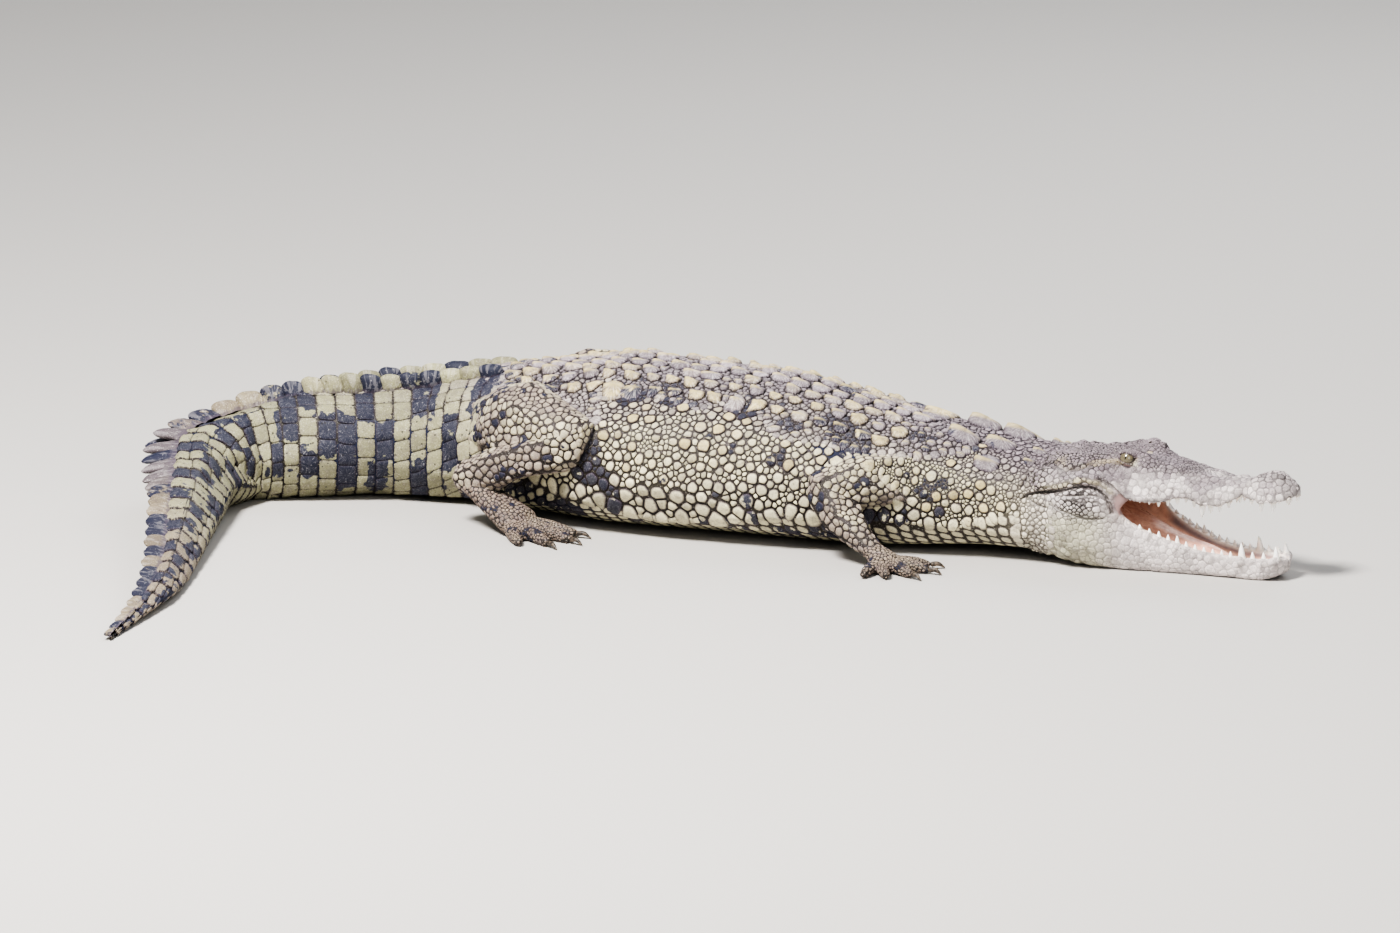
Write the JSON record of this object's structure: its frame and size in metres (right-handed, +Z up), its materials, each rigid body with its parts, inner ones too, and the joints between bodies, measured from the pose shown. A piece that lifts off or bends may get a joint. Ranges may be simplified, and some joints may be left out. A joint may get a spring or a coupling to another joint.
{
  "type": "nile crocodile",
  "caption": "Life-size still model of a basking Nile crocodile lying on its belly, jaws apart and tail swept round to its right",
  "frame": {"origin": "on the floor, under the middle of the animal's bounding box", "axes": "+X towards the head along the straight trunk, +Y to the animal's left, +Z up from the floor it lies on"},
  "size_m": [2.4708, 2.0304, 0.3268],
  "materials": {
    "body_hide": "matt horny scales, pale olive-cream with blue-black crossbands and blotches, grey back",
    "head_hide": "matt skin close to the bone, cream-white to lilac-grey, finely mottled, with ivory teeth",
    "mouth_lining": "damp orange-brown mouth lining",
    "eye": "wet, half-closed olive-brown eye",
    "claw": "dark horn, worn smooth"
  },
  "bodies": {
    "root": {"skull": "head_hide", "eye_right": "eye", "eye_left": "eye", "lower_jaw": "head_hide", "tongue": "mouth_lining", "neck": "body_hide", "trunk": "body_hide", "tail_base": "body_hide", "tail_bend": "body_hide", "tail_middle": "body_hide", "tail_end": "body_hide", "thigh_right": "body_hide", "shank_right": "body_hide", "hind_foot_right": "body_hide", "upper_arm_right": "body_hide", "forearm_right": "body_hide", "fore_foot_right": "body_hide", "hind_claw_right_1": "claw", "hind_claw_right_2": "claw", "hind_claw_right_3": "claw", "fore_claw_right_1": "claw", "fore_claw_right_2": "claw", "fore_claw_right_3": "claw", "thigh_left": "body_hide", "shank_left": "body_hide", "hind_foot_left": "body_hide", "upper_arm_left": "body_hide", "forearm_left": "body_hide", "fore_foot_left": "body_hide", "hind_claw_left_1": "claw", "hind_claw_left_2": "claw", "hind_claw_left_3": "claw", "fore_claw_left_1": "claw", "fore_claw_left_2": "claw", "fore_claw_left_3": "claw"}
  },
  "joints": []
}
